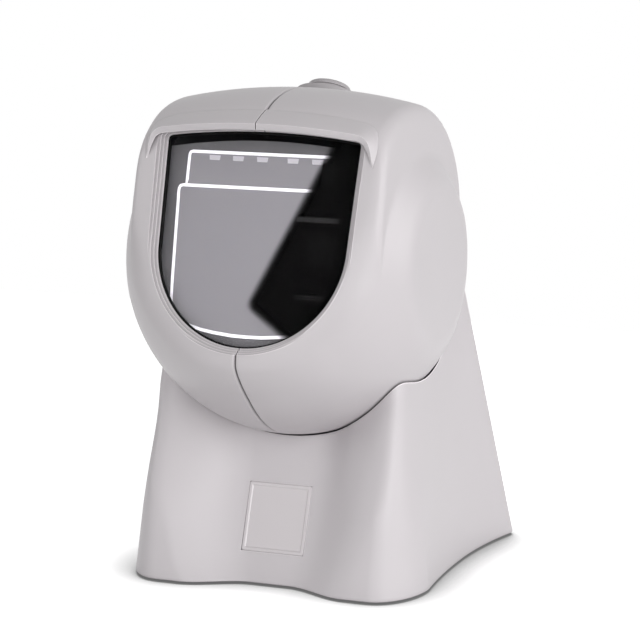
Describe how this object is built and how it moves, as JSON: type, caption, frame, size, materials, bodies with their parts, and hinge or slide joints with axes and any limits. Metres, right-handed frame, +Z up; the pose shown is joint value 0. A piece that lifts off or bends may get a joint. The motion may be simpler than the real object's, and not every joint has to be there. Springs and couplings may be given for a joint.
{
  "type": "barcode scanner",
  "caption": "Hands-free presentation barcode scanner: a round tilting scan head with a smoked window sits in the cradle of a flared pedestal.",
  "frame": {"origin": "on the counter, under the middle of the scanner's outline", "axes": "+Z is up, the window and the front face -Y, and X runs along the tilt axis"},
  "size_m": [0.1038, 0.1218, 0.1589],
  "materials": {
    "pedestal_plastic": "fine satin moulded texture",
    "head_plastic": "fine satin moulded texture",
    "floor_plastic": "plain moulded",
    "black_plastic": "plain moulded",
    "collar_plastic": "satin moulded",
    "button_plastic": "satin moulded",
    "bridge_plastic": "plain moulded",
    "shoe_plastic": "slippery bearing plastic",
    "connector_plastic": "plain moulded",
    "label_film": "glossy domed film",
    "smoked_pane": "polished, smoked",
    "lens_glass": "polished",
    "lamp_resin": "clear cast resin",
    "gasket_rubber": "matt",
    "foot_rubber": "matt",
    "lead_jacket": "smooth jacket",
    "pad_felt": "pressed felt",
    "board_laminate": "solder mask",
    "screw_steel": "zinc plated",
    "clamp_steel": "turned",
    "spring_steel": "drawn wire",
    "ballast_steel": "rolled plate"
  },
  "bodies": {
    "base": {"base_shell": "pedestal_plastic", "base_bottom_plate": "floor_plastic", "foot_1": "foot_rubber", "foot_2": "foot_rubber", "foot_3": "foot_rubber", "foot_4": "foot_rubber", "base_screw_1": "screw_steel", "base_screw_2": "screw_steel", "base_screw_3": "screw_steel", "base_screw_4": "screw_steel", "ballast_plate": "ballast_steel", "label_plate": "label_film", "interface_board": "board_laminate", "interface_screw_1": "screw_steel", "interface_screw_2": "screw_steel", "cable_socket": "black_plastic", "harness_header": "connector_plastic", "cradle_pad_left": "pad_felt", "cradle_pad_right": "pad_felt", "tilt_stud": "clamp_steel", "clamp_shoe": "shoe_plastic", "spring_washer": "clamp_steel", "lock_nut": "clamp_steel", "harness": "lead_jacket"},
    "head": {"head_shell_left": "head_plastic", "head_shell_right": "head_plastic", "shell_screw_upper": "screw_steel", "shell_screw_lower": "screw_steel", "window_gasket": "gasket_rubber", "scan_window": "smoked_pane", "optics_chamber": "black_plastic", "chamber_screw_1": "screw_steel", "chamber_screw_2": "screw_steel", "chamber_screw_3": "screw_steel", "chamber_screw_4": "screw_steel", "light_board": "board_laminate", "light_1": "lamp_resin", "light_2": "lamp_resin", "light_3": "lamp_resin", "light_4": "lamp_resin", "imager_board": "board_laminate", "imager_screw_1": "screw_steel", "imager_screw_2": "screw_steel", "lens_barrel": "black_plastic", "lens": "lens_glass", "main_board": "board_laminate", "main_screw_1": "screw_steel", "main_screw_2": "screw_steel", "board_connector": "connector_plastic", "beeper": "black_plastic", "harness_plug": "connector_plastic", "button_collar": "collar_plastic", "button_bridge": "bridge_plastic", "bridge_screw_left": "screw_steel", "bridge_screw_right": "screw_steel", "switch_board": "board_laminate", "trigger_switch": "black_plastic"},
    "button": {"trigger_button": "button_plastic", "button_spring": "spring_steel"}
  },
  "joints": [
    {"name": "head_tilt", "type": "hinge", "parent": "base", "child": "head", "pos_m": [0, -0.0095, 0.1026], "axis": [1, 0, 0], "range_deg": [-15, 15], "deforming": ["harness"]},
    {"name": "trigger_press", "type": "slide", "parent": "head", "child": "button", "axis": [0, -0.454, -0.891], "range_m": [0, 0.0015], "stiffness_N_per_m": 800, "springref_m": -0.001, "deforming": ["button_spring"]}
  ]
}
